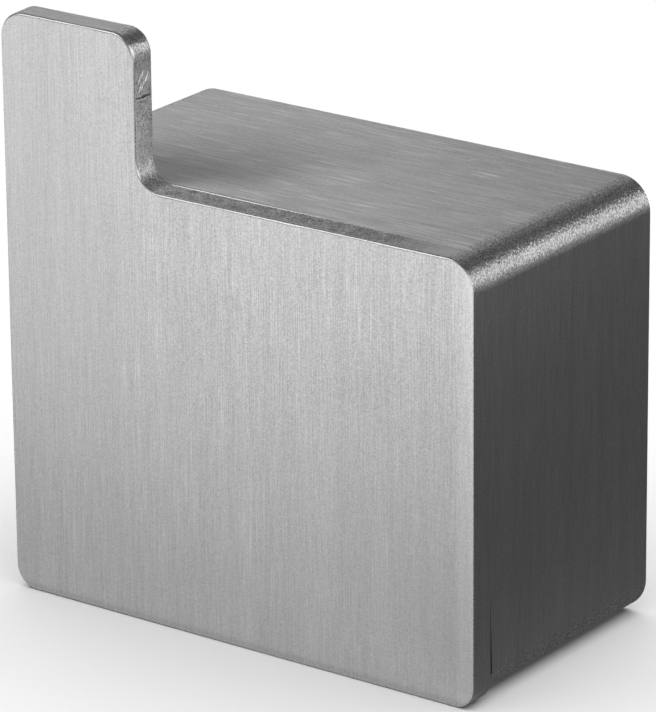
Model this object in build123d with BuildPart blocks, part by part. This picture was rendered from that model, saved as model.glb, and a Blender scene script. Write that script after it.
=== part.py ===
"""Towel hook: a stainless plate with an upright finger, welded to a short length of rectangular
tube that hangs over a folded wall bracket and is locked to it by a grub screw.

Millimetres. +Z is up, the wall is the plane Y = 0 and the plate faces -Y. The origin is on the
bracket's wall face, midway between its two screw slots and level with the tube's axis.
"""

import os

from build123d import *

# Tube that makes the body
tube_width = 50.0
tube_height = 40.3
tube_depth = 24.5
tube_wall = 1.5
tube_inside_radius = 1.5

# Front plate, flush with the tube's sides and top and a little lower than its underside
plate_thickness = 2.5
plate_overhang = 0.2
lower_corner_radius = 2.2

# Finger that the towel hangs behind
finger_width = 14.6
finger_height = 13.6
finger_corner_radius = 2.4
root_radius = 2.5

# Hand finishing of the plate
shoulder_drop = 0.2
ground_corner_radius = 2.8
front_edge_break = 0.25
back_edge_break = 0.2

# Open end of the weld at the right side, and the beads inside
seam_gap = 0.2
seam_height = 7.5
seam_above_underside = 2.4
bead_leg = 1.6
bead_length = 12.0
bead_crown_radius = 2.0

# Folded wall bracket
bracket_thickness = 2.0
bracket_bend_radius = 1.0
bracket_side_clearance = 0.3
flange_depth = 12.0
flange_corner_radius = 2.5
slot_width = 5.0
slot_length = 8.0
slot_spacing = 24.0

# Grub screw in the tube's underside
screw_diameter = 4.0
screw_length = 5.0
screw_recess = 0.3
screw_chamfer = 0.4
screw_clearance = 0.05
socket_width = 2.0
socket_depth = 2.5

# Places that follow from the sizes
tube_top = tube_height / 2
tube_bottom = -tube_height / 2
tube_side = tube_width / 2
tube_corner_radius = tube_inside_radius + tube_wall
inside_width = tube_width - 2 * tube_wall
inside_height = tube_height - 2 * tube_wall
plate_bottom = tube_bottom - plate_overhang
finger_top = tube_top + finger_height
finger_side = finger_width - tube_side
root_corner = (finger_side, tube_top - shoulder_drop)
shoulder_corner = (tube_side, tube_top)
lower_corner = (tube_side, plate_bottom)
joint_plane = Plane.XZ.offset(tube_depth)
front_plane = Plane.XZ.offset(tube_depth + plate_thickness)
screw_bottom = tube_bottom + screw_recess
bracket_top = tube_top - tube_wall
bracket_bottom = screw_bottom + screw_length
bracket_outer_bend = bracket_bend_radius + bracket_thickness
bracket_width = inside_width - 2 * (tube_inside_radius + bracket_side_clearance)
screw_place = (0, -(bracket_outer_bend + flange_depth) / 2)


def ground_corner(plane, radius):
    """Sketch of the metal that grinding takes off the plate's sharp shoulder corner."""
    rounding = FilletPolyline(root_corner, shoulder_corner, lower_corner, radius=radius)
    arc = rounding.edges().filter_by(GeomType.CIRCLE)[0]
    with BuildSketch(plane) as removed:
        with BuildLine():
            add(arc)
            Polyline(arc @ 0, shoulder_corner, arc @ 1)
        make_face()
    return removed.sketch


# Front plate: one outline with the finger, its shoulder corner ground to meet the tube's rounding
ground_at_joint = ground_corner(joint_plane, tube_corner_radius)
ground_at_front = ground_corner(front_plane, ground_corner_radius)

with BuildPart() as front_plate:
    with BuildSketch(joint_plane) as outline:
        with BuildLine():
            Polyline(
                (-tube_side, plate_bottom),
                lower_corner,
                shoulder_corner,
                root_corner,
                (finger_side, finger_top),
                (-tube_side, finger_top),
                close=True,
            )
        make_face()
        fillet(outline.vertices().group_by(Axis.Y)[0], lower_corner_radius)
        fillet(outline.vertices().group_by(Axis.Y)[-1], finger_corner_radius)
        fillet(outline.vertices().sort_by_distance(root_corner)[0], root_radius)
    extrude(amount=plate_thickness)
    loft([ground_at_joint.face(), ground_at_front.face()], mode=Mode.SUBTRACT)
    fillet(front_plate.faces().sort_by(Axis.Y)[0].edges(), front_edge_break)
    # The finger's back edge is broken from the tube's top, round the finger, to its root
    with BuildLine(joint_plane) as finger_edge:
        FilletPolyline(
            (-tube_side, tube_top),
            (-tube_side, finger_top),
            (finger_side, finger_top),
            (finger_side, tube_top + root_radius),
            radius=finger_corner_radius,
        )
    with BuildSketch(Plane(origin=finger_edge.wire() @ 0, x_dir=(1, 0, 0), z_dir=(0, 0, 1))):
        with BuildLine():
            Polyline(
                (2 * back_edge_break, back_edge_break),
                (-back_edge_break, -2 * back_edge_break),
                (-back_edge_break, back_edge_break),
                close=True,
            )
        make_face()
    sweep(path=finger_edge.wire(), mode=Mode.SUBTRACT)

# Body sleeve: a cut length of tube with inner weld beads and a tapped hole for the grub screw
with BuildPart() as body_sleeve:
    with BuildSketch(Plane.XZ):
        RectangleRounded(tube_width, tube_height, tube_corner_radius)
        RectangleRounded(inside_width, inside_height, tube_inside_radius, mode=Mode.SUBTRACT)
    extrude(amount=tube_depth)
    fillet(body_sleeve.faces().sort_by(Axis.Y)[-1].outer_wire().edges(), back_edge_break)
    # The weld stops short low on the right side, where the joint stands open in a thin wedge
    with BuildSketch(Plane.YZ.offset(tube_side - tube_wall)):
        with BuildLine():
            Polyline(
                (-tube_depth, tube_bottom + seam_above_underside),
                (seam_gap - tube_depth, tube_bottom + seam_above_underside),
                (-tube_depth, tube_bottom + seam_above_underside + seam_height),
                close=True,
            )
        make_face()
    extrude(amount=tube_wall, mode=Mode.SUBTRACT)
    # One bead in the middle of each wall, in the corner between the wall and the plate's back
    for inward, reach in (
        (Vector(1, 0, 0), inside_width / 2),
        (Vector(-1, 0, 0), inside_width / 2),
        (Vector(0, 0, 1), inside_height / 2),
        (Vector(0, 0, -1), inside_height / 2),
    ):
        foot = Vector(0, -tube_depth, 0) - inward * reach
        along = inward.cross(Vector(0, 1, 0))
        with BuildSketch(Plane(origin=foot, x_dir=inward, z_dir=along)):
            with BuildLine():
                Polyline((0, bead_leg), (0, 0), (bead_leg, 0))
                RadiusArc((bead_leg, 0), (0, bead_leg), -bead_crown_radius)
            make_face()
        extrude(amount=bead_length / 2, both=True)
    with BuildSketch(Plane.XY.offset(tube_bottom)):
        with Locations(screw_place):
            Circle(screw_diameter / 2 + screw_clearance)
    extrude(amount=tube_wall, mode=Mode.SUBTRACT)

# Wall bracket: a strip folded to a channel, its upper flange under the tube's top wall
with BuildPart() as wall_bracket:
    with BuildSketch(Plane.YZ):
        with BuildLine():
            FilletPolyline(
                (-flange_depth, bracket_top),
                (0, bracket_top),
                (0, bracket_bottom),
                (-flange_depth, bracket_bottom),
                radius=bracket_outer_bend,
            )
            offset(amount=bracket_thickness, side=Side.RIGHT)
        make_face()
    extrude(amount=bracket_width / 2, both=True)
    fillet(wall_bracket.edges().filter_by(Axis.Z).group_by(Axis.Y)[0], flange_corner_radius)
    with BuildSketch(Plane.XZ):
        with GridLocations(slot_spacing, 0, 2, 1):
            SlotOverall(slot_length, slot_width)
    extrude(amount=bracket_thickness, mode=Mode.SUBTRACT)

# Grub screw: its tip bears on the bracket's lower flange, its hex socket opens downwards
with BuildPart() as grub_screw:
    with BuildSketch(Plane.XY.offset(screw_bottom)):
        with Locations(screw_place):
            Circle(screw_diameter / 2)
    extrude(amount=screw_length)
    chamfer(grub_screw.edges().filter_by(GeomType.CIRCLE), screw_chamfer)
    with BuildSketch(Plane.XY.offset(screw_bottom)):
        with Locations(screw_place):
            RegularPolygon(socket_width / 2, side_count=6, major_radius=False)
    extrude(amount=socket_depth, mode=Mode.SUBTRACT)

front_plate.part.label = "front_plate"
body_sleeve.part.label = "body_sleeve"
wall_bracket.part.label = "wall_bracket"
grub_screw.part.label = "grub_screw"

os.makedirs("parts", exist_ok=True)
export_step(front_plate.part, "parts/front_plate.step")
export_step(body_sleeve.part, "parts/body_sleeve.step")
export_step(wall_bracket.part, "parts/wall_bracket.step")
export_step(grub_screw.part, "parts/grub_screw.step")
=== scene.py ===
"""Looks of a brushed steel towel hook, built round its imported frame.

Blender's metres hold the part's own frame: +Z up, the wall at Y = 0, the plate facing -Y with its
finger on the -X side. Shapes are worked out in millimetres and scaled once, when a mesh is made.
"""

import logging
import math
from dataclasses import dataclass
from enum import Enum
from typing import Any

import bpy
import numpy as np
from mathutils import Matrix, Vector


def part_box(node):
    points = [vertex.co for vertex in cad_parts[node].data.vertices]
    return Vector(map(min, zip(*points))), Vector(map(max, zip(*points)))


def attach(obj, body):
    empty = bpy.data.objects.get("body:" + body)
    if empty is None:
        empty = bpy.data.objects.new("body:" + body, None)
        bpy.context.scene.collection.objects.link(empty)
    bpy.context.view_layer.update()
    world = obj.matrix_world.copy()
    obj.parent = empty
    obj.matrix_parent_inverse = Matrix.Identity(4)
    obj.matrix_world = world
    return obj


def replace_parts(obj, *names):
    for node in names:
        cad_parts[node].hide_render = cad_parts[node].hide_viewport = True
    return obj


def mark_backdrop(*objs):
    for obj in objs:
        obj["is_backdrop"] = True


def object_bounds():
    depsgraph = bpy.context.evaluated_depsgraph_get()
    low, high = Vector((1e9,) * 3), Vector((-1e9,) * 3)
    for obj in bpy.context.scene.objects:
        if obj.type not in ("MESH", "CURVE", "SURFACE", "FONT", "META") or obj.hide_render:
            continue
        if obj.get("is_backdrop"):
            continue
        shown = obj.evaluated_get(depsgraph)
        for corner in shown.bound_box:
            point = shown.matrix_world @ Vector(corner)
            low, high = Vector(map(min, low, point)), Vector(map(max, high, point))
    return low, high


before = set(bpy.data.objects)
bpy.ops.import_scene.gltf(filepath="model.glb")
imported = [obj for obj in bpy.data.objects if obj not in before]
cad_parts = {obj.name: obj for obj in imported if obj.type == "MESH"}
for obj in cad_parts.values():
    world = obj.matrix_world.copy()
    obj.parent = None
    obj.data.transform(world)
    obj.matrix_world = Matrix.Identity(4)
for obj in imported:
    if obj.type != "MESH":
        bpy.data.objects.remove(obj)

log = logging.getLogger("towel_hook")

Array = np.ndarray
Pair = tuple[float, float]
Triple = tuple[float, float, float]
Socket = bpy.types.NodeSocket
MM = 0.001
TOLERANCE = 1e-6
BODY = "root"
CAD_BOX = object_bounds()
GROUND_SHARE = "ground_share"
SHADE_GLINT_AND_DARKENING_SHARE = "shade_glint_and_darkening_share"
WEAR_SHARE = "wear_share"
RUB_SHARE = "rub_share"
TO_WALL = np.array([0.0, 1.0, 0.0])
UP = np.array([0.0, 0.0, 1.0])


class Axis(Enum):
    """A direction of the part's frame, as one that a brush is drawn across."""

    X = (1.0, 0.0, 0.0)
    Y = (0.0, 1.0, 0.0)
    Z = (0.0, 0.0, 1.0)

    def stretch(self, across: float, along: float) -> Triple:
        """Sizes of a streak in X, Y and Z: thin across this direction, long along the other two."""
        return tuple(across if part else along for part in self.value)


class Dress(Enum):
    """Which finish a face of a piece wears, by its place among the piece's materials.

    The tube's inside has the same place as the plate's edge, since no piece has both.
    """

    FACE = 0
    EDGE = 1
    INSIDE = 1
    BREAK = 2


class Shift(Enum):
    """Number that sets a noise apart from others of the same size."""

    ROLL = 2.0
    HAIR = 3.1
    SPECK = 4.4
    RING = 5.0
    CLOUD = 6.0
    DIMPLE = 6.1
    SCRATCH = 7.7
    PEEL = 8.0
    BLOTCH = 9.2
    SMEAR = 11.0
    TUBE_BAND = 12.9
    FACE_BAND = 13.9
    PATCH = 14.2
    GRAIN = 17.3
    GRIT = 21.4


def alike(number: float) -> Triple:
    """Three equal parts: a grey, or a size that is the same all ways."""
    return (number, number, number)


def node_box(node: str) -> tuple[Array, Array]:
    """Lowest and highest corner of a CAD node, in millimetres."""
    low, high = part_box(node)
    return np.array(low) / MM, np.array(high) / MM


def ramp(value: Array, low: float, high: float) -> Array:
    """Straight step of an array: 0 below low, 1 above high."""
    return np.clip((value - low) / (high - low), 0, 1)


def smooth_step(value: Array, low: float, high: float) -> Array:
    """Smooth step of an array: 0 below low, 1 above high."""
    share = ramp(value, low, high)
    return share * share * (3 - 2 * share)


def over_corner(x: Array, z: Array, side: float, top: float, radius: float) -> Array:
    """How far round a rounded corner a place is: 1 half way round it, 0 at both ends and beyond.

    It is twice the product of the place's two distances past the corner's centre, in radii.

    Args:
        x: Places in X.
        z: Places in Z.
        side: Place of the corner's side in X.
        top: Place of the corner's top in Z.
        radius: The corner's radius.

    Returns:
        The share at each place.
    """
    over_side = np.clip(x - side + radius, 0, None)
    over_top = np.clip(z - top + radius, 0, None)
    return np.clip(2 * over_side * over_top / radius**2, 0, 1)


def at_depth(flat: Array, depth: Array) -> Array:
    """Points or normals in space from their parts in X and Z and their part in Y."""
    return np.stack(np.broadcast_arrays(flat[..., 0], depth, flat[..., 1]), axis=-1)


def at_height(flat: Array, height: Array | float) -> Array:
    """Points or normals in space from their parts in X and Y and their part in Z."""
    return np.stack(np.broadcast_arrays(flat[..., 0], flat[..., 1], height), axis=-1)


# Shader maths


class Value:
    """A number on a shader socket that takes part in Python arithmetic, each step one Math node."""

    def __init__(self, shade: "Shade", socket: Socket) -> None:
        """Keeps the socket and the tree that it belongs to."""
        self.shade = shade
        self.socket = socket

    def _math(self, operation: str, first: Any, second: Any) -> "Value":
        """Adds the Math node of one operation on two values or numbers."""
        node = self.shade.node("ShaderNodeMath", {"operation": operation}, {0: first, 1: second})
        return Value(self.shade, node.outputs[0])

    def __add__(self, other: "Value | float") -> "Value":
        """Sum of the two."""
        return self._math("ADD", self, other)

    def __sub__(self, other: "Value | float") -> "Value":
        """This less the other."""
        return self._math("SUBTRACT", self, other)

    def __rsub__(self, other: float) -> "Value":
        """The number less this."""
        return self._math("SUBTRACT", other, self)

    def __mul__(self, other: "Value | float") -> "Value":
        """Product of the two."""
        return self._math("MULTIPLY", self, other)

    def __rpow__(self, other: float) -> "Value":
        """The number to the power of this."""
        return self._math("POWER", other, self)

    __radd__ = __add__
    __rmul__ = __mul__

    def above(self, low: float, high: float) -> "Value":
        """Smooth step of this value: 0 below low, 1 above high."""
        node = self.shade.node(
            "ShaderNodeMapRange",
            {"interpolation_type": "SMOOTHSTEP"},
            {"Value": self, "From Min": low, "From Max": high},
        )
        return Value(self.shade, node.outputs["Result"])


class Shade:
    """The node tree of one material.

    A shift moves a noise along SHIFT_WAY, and an octave of it has OCTAVE_FADE of the one before.
    """

    OCTAVE_FADE = 0.55
    SHIFT_WAY = (1.0, 1.7, 2.3)

    def __init__(self, name: str) -> None:
        """Makes an empty material.

        Args:
            name: The material's name, a maker's word for the finish.
        """
        self.material = bpy.data.materials.new(name)
        self.material.use_nodes = True
        self.tree = self.material.node_tree
        self.tree.nodes.clear()
        self.place = self.node("ShaderNodeTexCoord").outputs["Object"]

    def node(
        self,
        kind: str,
        settings: dict[str, Any] | None = None,
        inputs: dict[str | int, Any] | None = None,
    ) -> bpy.types.Node:
        """Adds any node.

        Args:
            kind: Blender's name of the node's type.
            settings: Properties of the node, set first.
            inputs: A value, a socket or a plain number for each socket, by name or place.

        Returns:
            The new node.
        """
        node = self.tree.nodes.new(kind)
        for key, setting in (settings or {}).items():
            setattr(node, key, setting)
        for key, given in (inputs or {}).items():
            source = given.socket if isinstance(given, Value) else given
            if isinstance(source, Socket):
                self.tree.links.new(source, node.inputs[key])
            else:
                node.inputs[key].default_value = source
        return node

    def noise(self, sizes: Triple, shift: Shift, detail: float = 1.0) -> Value:
        """Noise about zero, from about -1 to 1, whose lumps have the given sizes.

        Args:
            sizes: Size of a lump along X, Y and Z in millimetres.
            shift: What sets this noise apart from others.
            detail: Octaves of finer noise on top.

        Returns:
            The noise as a value.
        """
        mapping = self.node(
            "ShaderNodeMapping",
            {"vector_type": "POINT"},
            {
                "Vector": self.place,
                "Location": tuple(shift.value * part for part in self.SHIFT_WAY),
                "Scale": tuple(1 / (size * MM) for size in sizes),
            },
        )
        noise = self.node(
            "ShaderNodeTexNoise",
            {"noise_dimensions": "3D", "normalize": False},
            {"Vector": mapping.outputs[0], "Scale": 1.0, "Detail": detail, "Roughness": self.OCTAVE_FADE},
        )
        return Value(self, noise.outputs[0])

    def along(self, axis: Axis) -> Value:
        """Place along a direction of the piece's own frame, in metres."""
        place = self.node("ShaderNodeSeparateXYZ", None, {0: self.place})
        return Value(self, place.outputs[axis.name])

    def past(self, axis: Axis, run: Pair) -> Value:
        """Share that goes from 0 to 1 between two places along a direction, in millimetres."""
        return self.along(axis).above(run[0] * MM, run[1] * MM)

    def painted(self, name: str) -> Value:
        """Share that is painted on a piece's points, zero on a piece without it."""
        return Value(self, self.node("ShaderNodeAttribute", {"attribute_name": name}).outputs["Fac"])

    def bump(self, height: Value, distance_mm: float) -> Socket:
        """Normal of a surface raised by a height of 1 times the distance."""
        node = self.node(
            "ShaderNodeBump", None, {"Height": height, "Distance": distance_mm * MM, "Strength": 1.0}
        )
        return node.outputs["Normal"]

    def tint(self, share: Value, dark: Triple, light: Triple) -> Socket:
        """Colour between dark at a share of 0 and light at 1."""
        node = self.node(
            "ShaderNodeMix",
            {"data_type": "RGBA", "clamp_factor": True},
            {"Factor": share, 6: (*dark, 1.0), 7: (*light, 1.0)},
        )
        return node.outputs[2]

    def toned(self, share: Value, colour: Triple, contrast: float) -> Socket:
        """Colour that is darker than the given one by the contrast at a share of 0 and lighter at 1."""
        dark, light = (tuple(part * (1 + more) for part in colour) for more in (-contrast, contrast))
        return self.tint(share, dark, light)

    def metal(self, inputs: dict[str, Any]) -> Socket:
        """Shader of bare metal with the given inputs."""
        node = self.node("ShaderNodeBsdfPrincipled", None, {"Metallic": 1.0, **inputs})
        return node.outputs[0]

    def light(self, strength: float) -> Socket:
        """Shader that gives off white light of one strength."""
        return self.node("ShaderNodeEmission", None, {"Strength": strength}).outputs[0]

    def mix(self, share: Value, first: Socket, second: Socket) -> Socket:
        """Shader that goes from the first at a share of 0 to the second at 1."""
        return self.node("ShaderNodeMixShader", None, {0: share, 1: first, 2: second}).outputs[0]

    def finish(self, shader: Socket) -> bpy.types.Material:
        """Puts the shader on the surface and returns the material."""
        self.node("ShaderNodeOutputMaterial", None, {"Surface": shader})
        return self.material


# Finishes


@dataclass(frozen=True)
class Finish:
    """A finish of bare metal.

    In each finish a share says how much a mark changes the tone, a dulling how much it adds to the
    roughness, and a rise how high it stands in the finish's own height. Lengths are in millimetres.
    """

    name: str

    def shader(self, shade: Shade) -> Socket:
        """Adds the finish to a node tree.

        Args:
            shade: The tree to add to.

        Returns:
            The shader's socket.
        """
        raise NotImplementedError

    def material(self) -> bpy.types.Material:
        """The finish as a material of its own."""
        shade = Shade(self.name)
        return shade.finish(self.shader(shade))


@dataclass(frozen=True)
class BrushedSteel(Finish):
    """Stainless steel drawn over a belt: hair-fine straight scratches, and a few that catch the light.

    Sizes of streaks are pairs, across the brush and along it. An edge is the pair of noise levels
    between which a mark sets in.
    """

    across: Axis
    colour: Triple = alike(0.60)
    contrast: float = 0.32
    roughness: float = 0.40
    anisotropy: float = 1.0
    hair: Pair = (0.22, 5.0)
    hair_share: float = 0.18
    hair_rub: float = 0.14
    hair_dulling: float = 0.05
    hair_rise: float = 0.25
    band: Pair = (1.3, 60.0)
    band_share: float = 0.08
    band_dulling: float = -0.02
    band_shift: Shift = Shift.TUBE_BAND
    scratch: Pair = (0.2, 4.5)
    scratch_edge: Pair = (0.25, 0.55)
    scratch_share: float = 0.03
    patch: float = 6.0
    patch_edge: Pair = (-0.25, 0.25)
    rub_share: float = 0.95
    grain: Pair = (0.12, 0.2)
    grain_share: float = 0.26
    wear_share: float = 2.6
    wear_dulling: float = 0.046
    wear_rise: float = 0.385
    grit: Pair = (0.12, 0.35)
    grit_rise: float = 0.3
    grit_height: float = 0.022

    def shader(self, shade: Shade) -> Socket:
        """Adds the finish to a node tree.

        Scratches lie in patches. Painted shares add to them where the top is rubbed, and to the grain
        where the belt ran over a rounding.

        Args:
            shade: The tree to add to.

        Returns:
            The shader's socket.
        """
        hair = shade.noise(self.across.stretch(*self.hair), Shift.HAIR)
        band = shade.noise(self.across.stretch(*self.band), self.band_shift)
        patch = shade.noise(alike(self.patch), Shift.PATCH).above(*self.patch_edge)
        scratch = shade.noise(self.across.stretch(*self.scratch), Shift.SCRATCH, detail=0.0)
        scratch = patch * scratch.above(*self.scratch_edge)
        grain = shade.noise(self.across.stretch(*self.grain), Shift.GRAIN, detail=0.0)
        grit = shade.noise(self.across.stretch(*self.grit), Shift.GRIT)
        rub = self.rub_share * shade.painted(RUB_SHARE)
        wear = self.wear_share * shade.painted(WEAR_SHARE)
        streaks = (self.hair_share + self.hair_rub * rub) * hair + (self.scratch_share + rub) * scratch
        sparkle = (self.grain_share + wear) * grain
        marks = self.bite(shade) * (streaks + sparkle) + self.band_share * band
        dulling = self.hair_dulling * hair + self.band_dulling * band + self.wear_dulling * wear
        relief = (self.grit_rise + self.wear_rise * wear) * grit + self.hair_rise * hair
        tangent = shade.node("ShaderNodeCombineXYZ", None, dict(enumerate(self.across.value)))
        # The base colour also takes a painted highlight, where a finish gives one.
        return shade.metal(
            {
                "Base Color": shade.toned(0.5 + marks + self.painted_highlight(shade), self.colour, self.contrast),
                "Roughness": self.roughness + dulling,
                "Anisotropic": self.anisotropy,
                "Tangent": tangent.outputs[0],
                "Normal": shade.bump(relief, self.grit_height),
            }
        )

    def bite(self, shade: Shade) -> Value | float:
        """How deep the belt cut at each place, 1 where it is usual."""
        return 1.0

    def painted_highlight(self, shade: Shade) -> Value | float:
        """Painted highlight: how much lighter than usual each place is painted."""
        return 0.0


@dataclass(frozen=True)
class FaceSteel(BrushedSteel):
    """Brushed face of the plate, cut deeper towards its upper right, with painted highlights there and at its
    right edge.

    A run is a pair of places along X or Z between which a share goes from 0 to 1.
    """

    colour: Triple = alike(0.665)
    contrast: float = 0.42
    roughness: float = 0.34
    hair: Pair = (0.11, 5.0)
    hair_share: float = 0.225
    band_share: float = 0.04
    band_shift: Shift = Shift.FACE_BAND
    scratch: Pair = (0.12, 6.0)
    scratch_share: float = 0.15
    rub_share: float = 0.0
    grain: Pair = (0.12, 0.12)
    grain_share: float = 0.275
    wear_share: float = 0.0
    grit_height: float = 0.005
    bite_least: float = 0.8
    bite_more: float = 0.6
    bite_run_x: Pair = (-20.0, 0.0)
    bite_run_z: Pair = (-14.0, 14.0)
    painted_highlight_most: float = 0.26
    painted_highlight_upper_right: float = 0.06
    painted_highlight_run_x: Pair = (22.6, 24.9)

    def upper_right(self, shade: Shade) -> Value:
        """Share of the upper right part that each place has."""
        return shade.past(Axis.X, self.bite_run_x) * shade.past(Axis.Z, self.bite_run_z)

    def bite(self, shade: Shade) -> Value | float:
        """How deep the belt cut at each place, 1 where it is usual."""
        return self.bite_least + self.bite_more * self.upper_right(shade)

    def painted_highlight(self, shade: Shade) -> Value | float:
        """Painted highlight: how much lighter than usual each place is painted."""
        # Painted highlight: lighter at the right edge and over the upper right, where the face reflects more
        # light.
        at_edge = shade.past(Axis.X, self.painted_highlight_run_x)
        return self.painted_highlight_most * at_edge + self.painted_highlight_upper_right * self.upper_right(shade)


@dataclass(frozen=True)
class CutEdge(Finish):
    """Edge of the plate as the beam left it and tumbling dulled it: bright, with a fine dark speckle."""

    bright: Triple = alike(0.98)
    dark: Triple = alike(0.16)
    brightness: float = 0.80
    roughness: float = 0.45
    speck: float = 0.14
    speck_share: float = 0.6
    speck_dulling: float = 0.1
    speck_rise: float = 0.3
    dimple: float = 0.3
    dimple_share: float = 0.2
    dimple_height: float = 0.012
    blotch: float = 1.0
    blotch_share: float = 0.22
    blotch_rise: float = 0.5
    shade_glint_and_darkening_tint: float = 0.25

    def shader(self, shade: Shade) -> Socket:
        """Adds the finish, darker or lighter by the painted share of shade, glint and darkening, to a node
        tree.

        Args:
            shade: The tree to add to.

        Returns:
            The shader's socket.
        """
        speck = shade.noise(alike(self.speck), Shift.SPECK)
        dimple = shade.noise(alike(self.dimple), Shift.DIMPLE)
        blotch = shade.noise(alike(self.blotch), Shift.BLOTCH)
        speckle = self.speck_share * speck + self.dimple_share * dimple + self.blotch_share * blotch
        # The painted share darkens the tone: painted shade in the scratches' grooves and a darker root and
        # strips; below zero it is a painted glint.
        tone = self.brightness + speckle - self.shade_glint_and_darkening_tint * shade.painted(SHADE_GLINT_AND_DARKENING_SHARE)
        relief = dimple + self.speck_rise * speck + self.blotch_rise * blotch
        return shade.metal(
            {
                "Base Color": shade.tint(tone, self.dark, self.bright),
                "Roughness": self.roughness + self.speck_dulling * speck,
                "Normal": shade.bump(relief, self.dimple_height),
            }
        )

    def worn_into(self, ground: BrushedSteel) -> bpy.types.Material:
        """Material that goes from this edge to a ground finish by the painted share of the rim."""
        shade = Shade(self.name)
        return shade.finish(shade.mix(shade.painted(GROUND_SHARE), self.shader(shade), ground.shader(shade)))


@dataclass(frozen=True)
class RolledSheet(Finish):
    """Plain cold-rolled stainless sheet: a soft grey sheen with faint rolling lines."""

    colour: Triple = (0.56, 0.56, 0.555)
    contrast: float = 0.08
    roughness: float = 0.36
    roll: Triple = (14.0, 0.4, 0.4)
    roll_share: float = 0.3
    roll_dulling: float = 0.03
    roll_rise: float = 0.5
    cloud: float = 5.0
    cloud_share: float = 0.4
    cloud_dulling: float = 0.06
    peel: float = 0.25
    peel_height: float = 0.004

    def shader(self, shade: Shade) -> Socket:
        """Adds the finish to a node tree.

        Args:
            shade: The tree to add to.

        Returns:
            The shader's socket.
        """
        roll = shade.noise(self.roll, Shift.ROLL, detail=2.0)
        cloud = shade.noise(alike(self.cloud), Shift.CLOUD, detail=3.0)
        orange_peel = shade.noise(alike(self.peel), Shift.PEEL)
        tone = 0.5 + self.roll_share * roll + self.cloud_share * cloud
        return shade.metal(
            {
                "Base Color": shade.toned(tone, self.colour, self.contrast),
                "Roughness": self.roughness + self.cloud_dulling * cloud + self.roll_dulling * roll,
                "Normal": shade.bump(orange_peel + self.roll_rise * roll, self.peel_height),
            }
        )


@dataclass(frozen=True)
class TurnedSteel(Finish):
    """Machined steel of a small screw, with fine turning marks round its axis."""

    colour: Triple = (0.42, 0.42, 0.415)
    contrast: float = 0.15
    roughness: float = 0.33
    ring: Triple = (2.0, 2.0, 0.06)
    ring_share: float = 0.2
    ring_height: float = 0.003
    smear: float = 0.8
    smear_share: float = 0.4
    smear_dulling: float = 0.08

    def shader(self, shade: Shade) -> Socket:
        """Adds the finish to a node tree.

        Args:
            shade: The tree to add to.

        Returns:
            The shader's socket.
        """
        ring = shade.noise(self.ring, Shift.RING)
        smear = shade.noise(alike(self.smear), Shift.SMEAR, detail=2.0)
        tone = 0.5 + self.smear_share * smear + self.ring_share * ring
        return shade.metal(
            {
                "Base Color": shade.toned(tone, self.colour, self.contrast),
                "Roughness": self.roughness + self.smear_dulling * smear,
                "Normal": shade.bump(ring, self.ring_height),
            }
        )


# Surfaces


def grid_normals(points: Array, outside: Array) -> Array:
    """Unit normals of a grid of points, from the cross product of its two running differences.

    Args:
        points: The grid, rows by columns by 3.
        outside: A direction for each point that the normal has to lean towards.

    Returns:
        The normals, in the grid's shape.
    """
    normal = np.cross(np.gradient(points, axis=0), np.gradient(points, axis=1))
    normal /= np.linalg.norm(normal, axis=2, keepdims=True)
    return normal * np.where((normal * outside).sum(2, keepdims=True) < 0, -1.0, 1.0)


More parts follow.
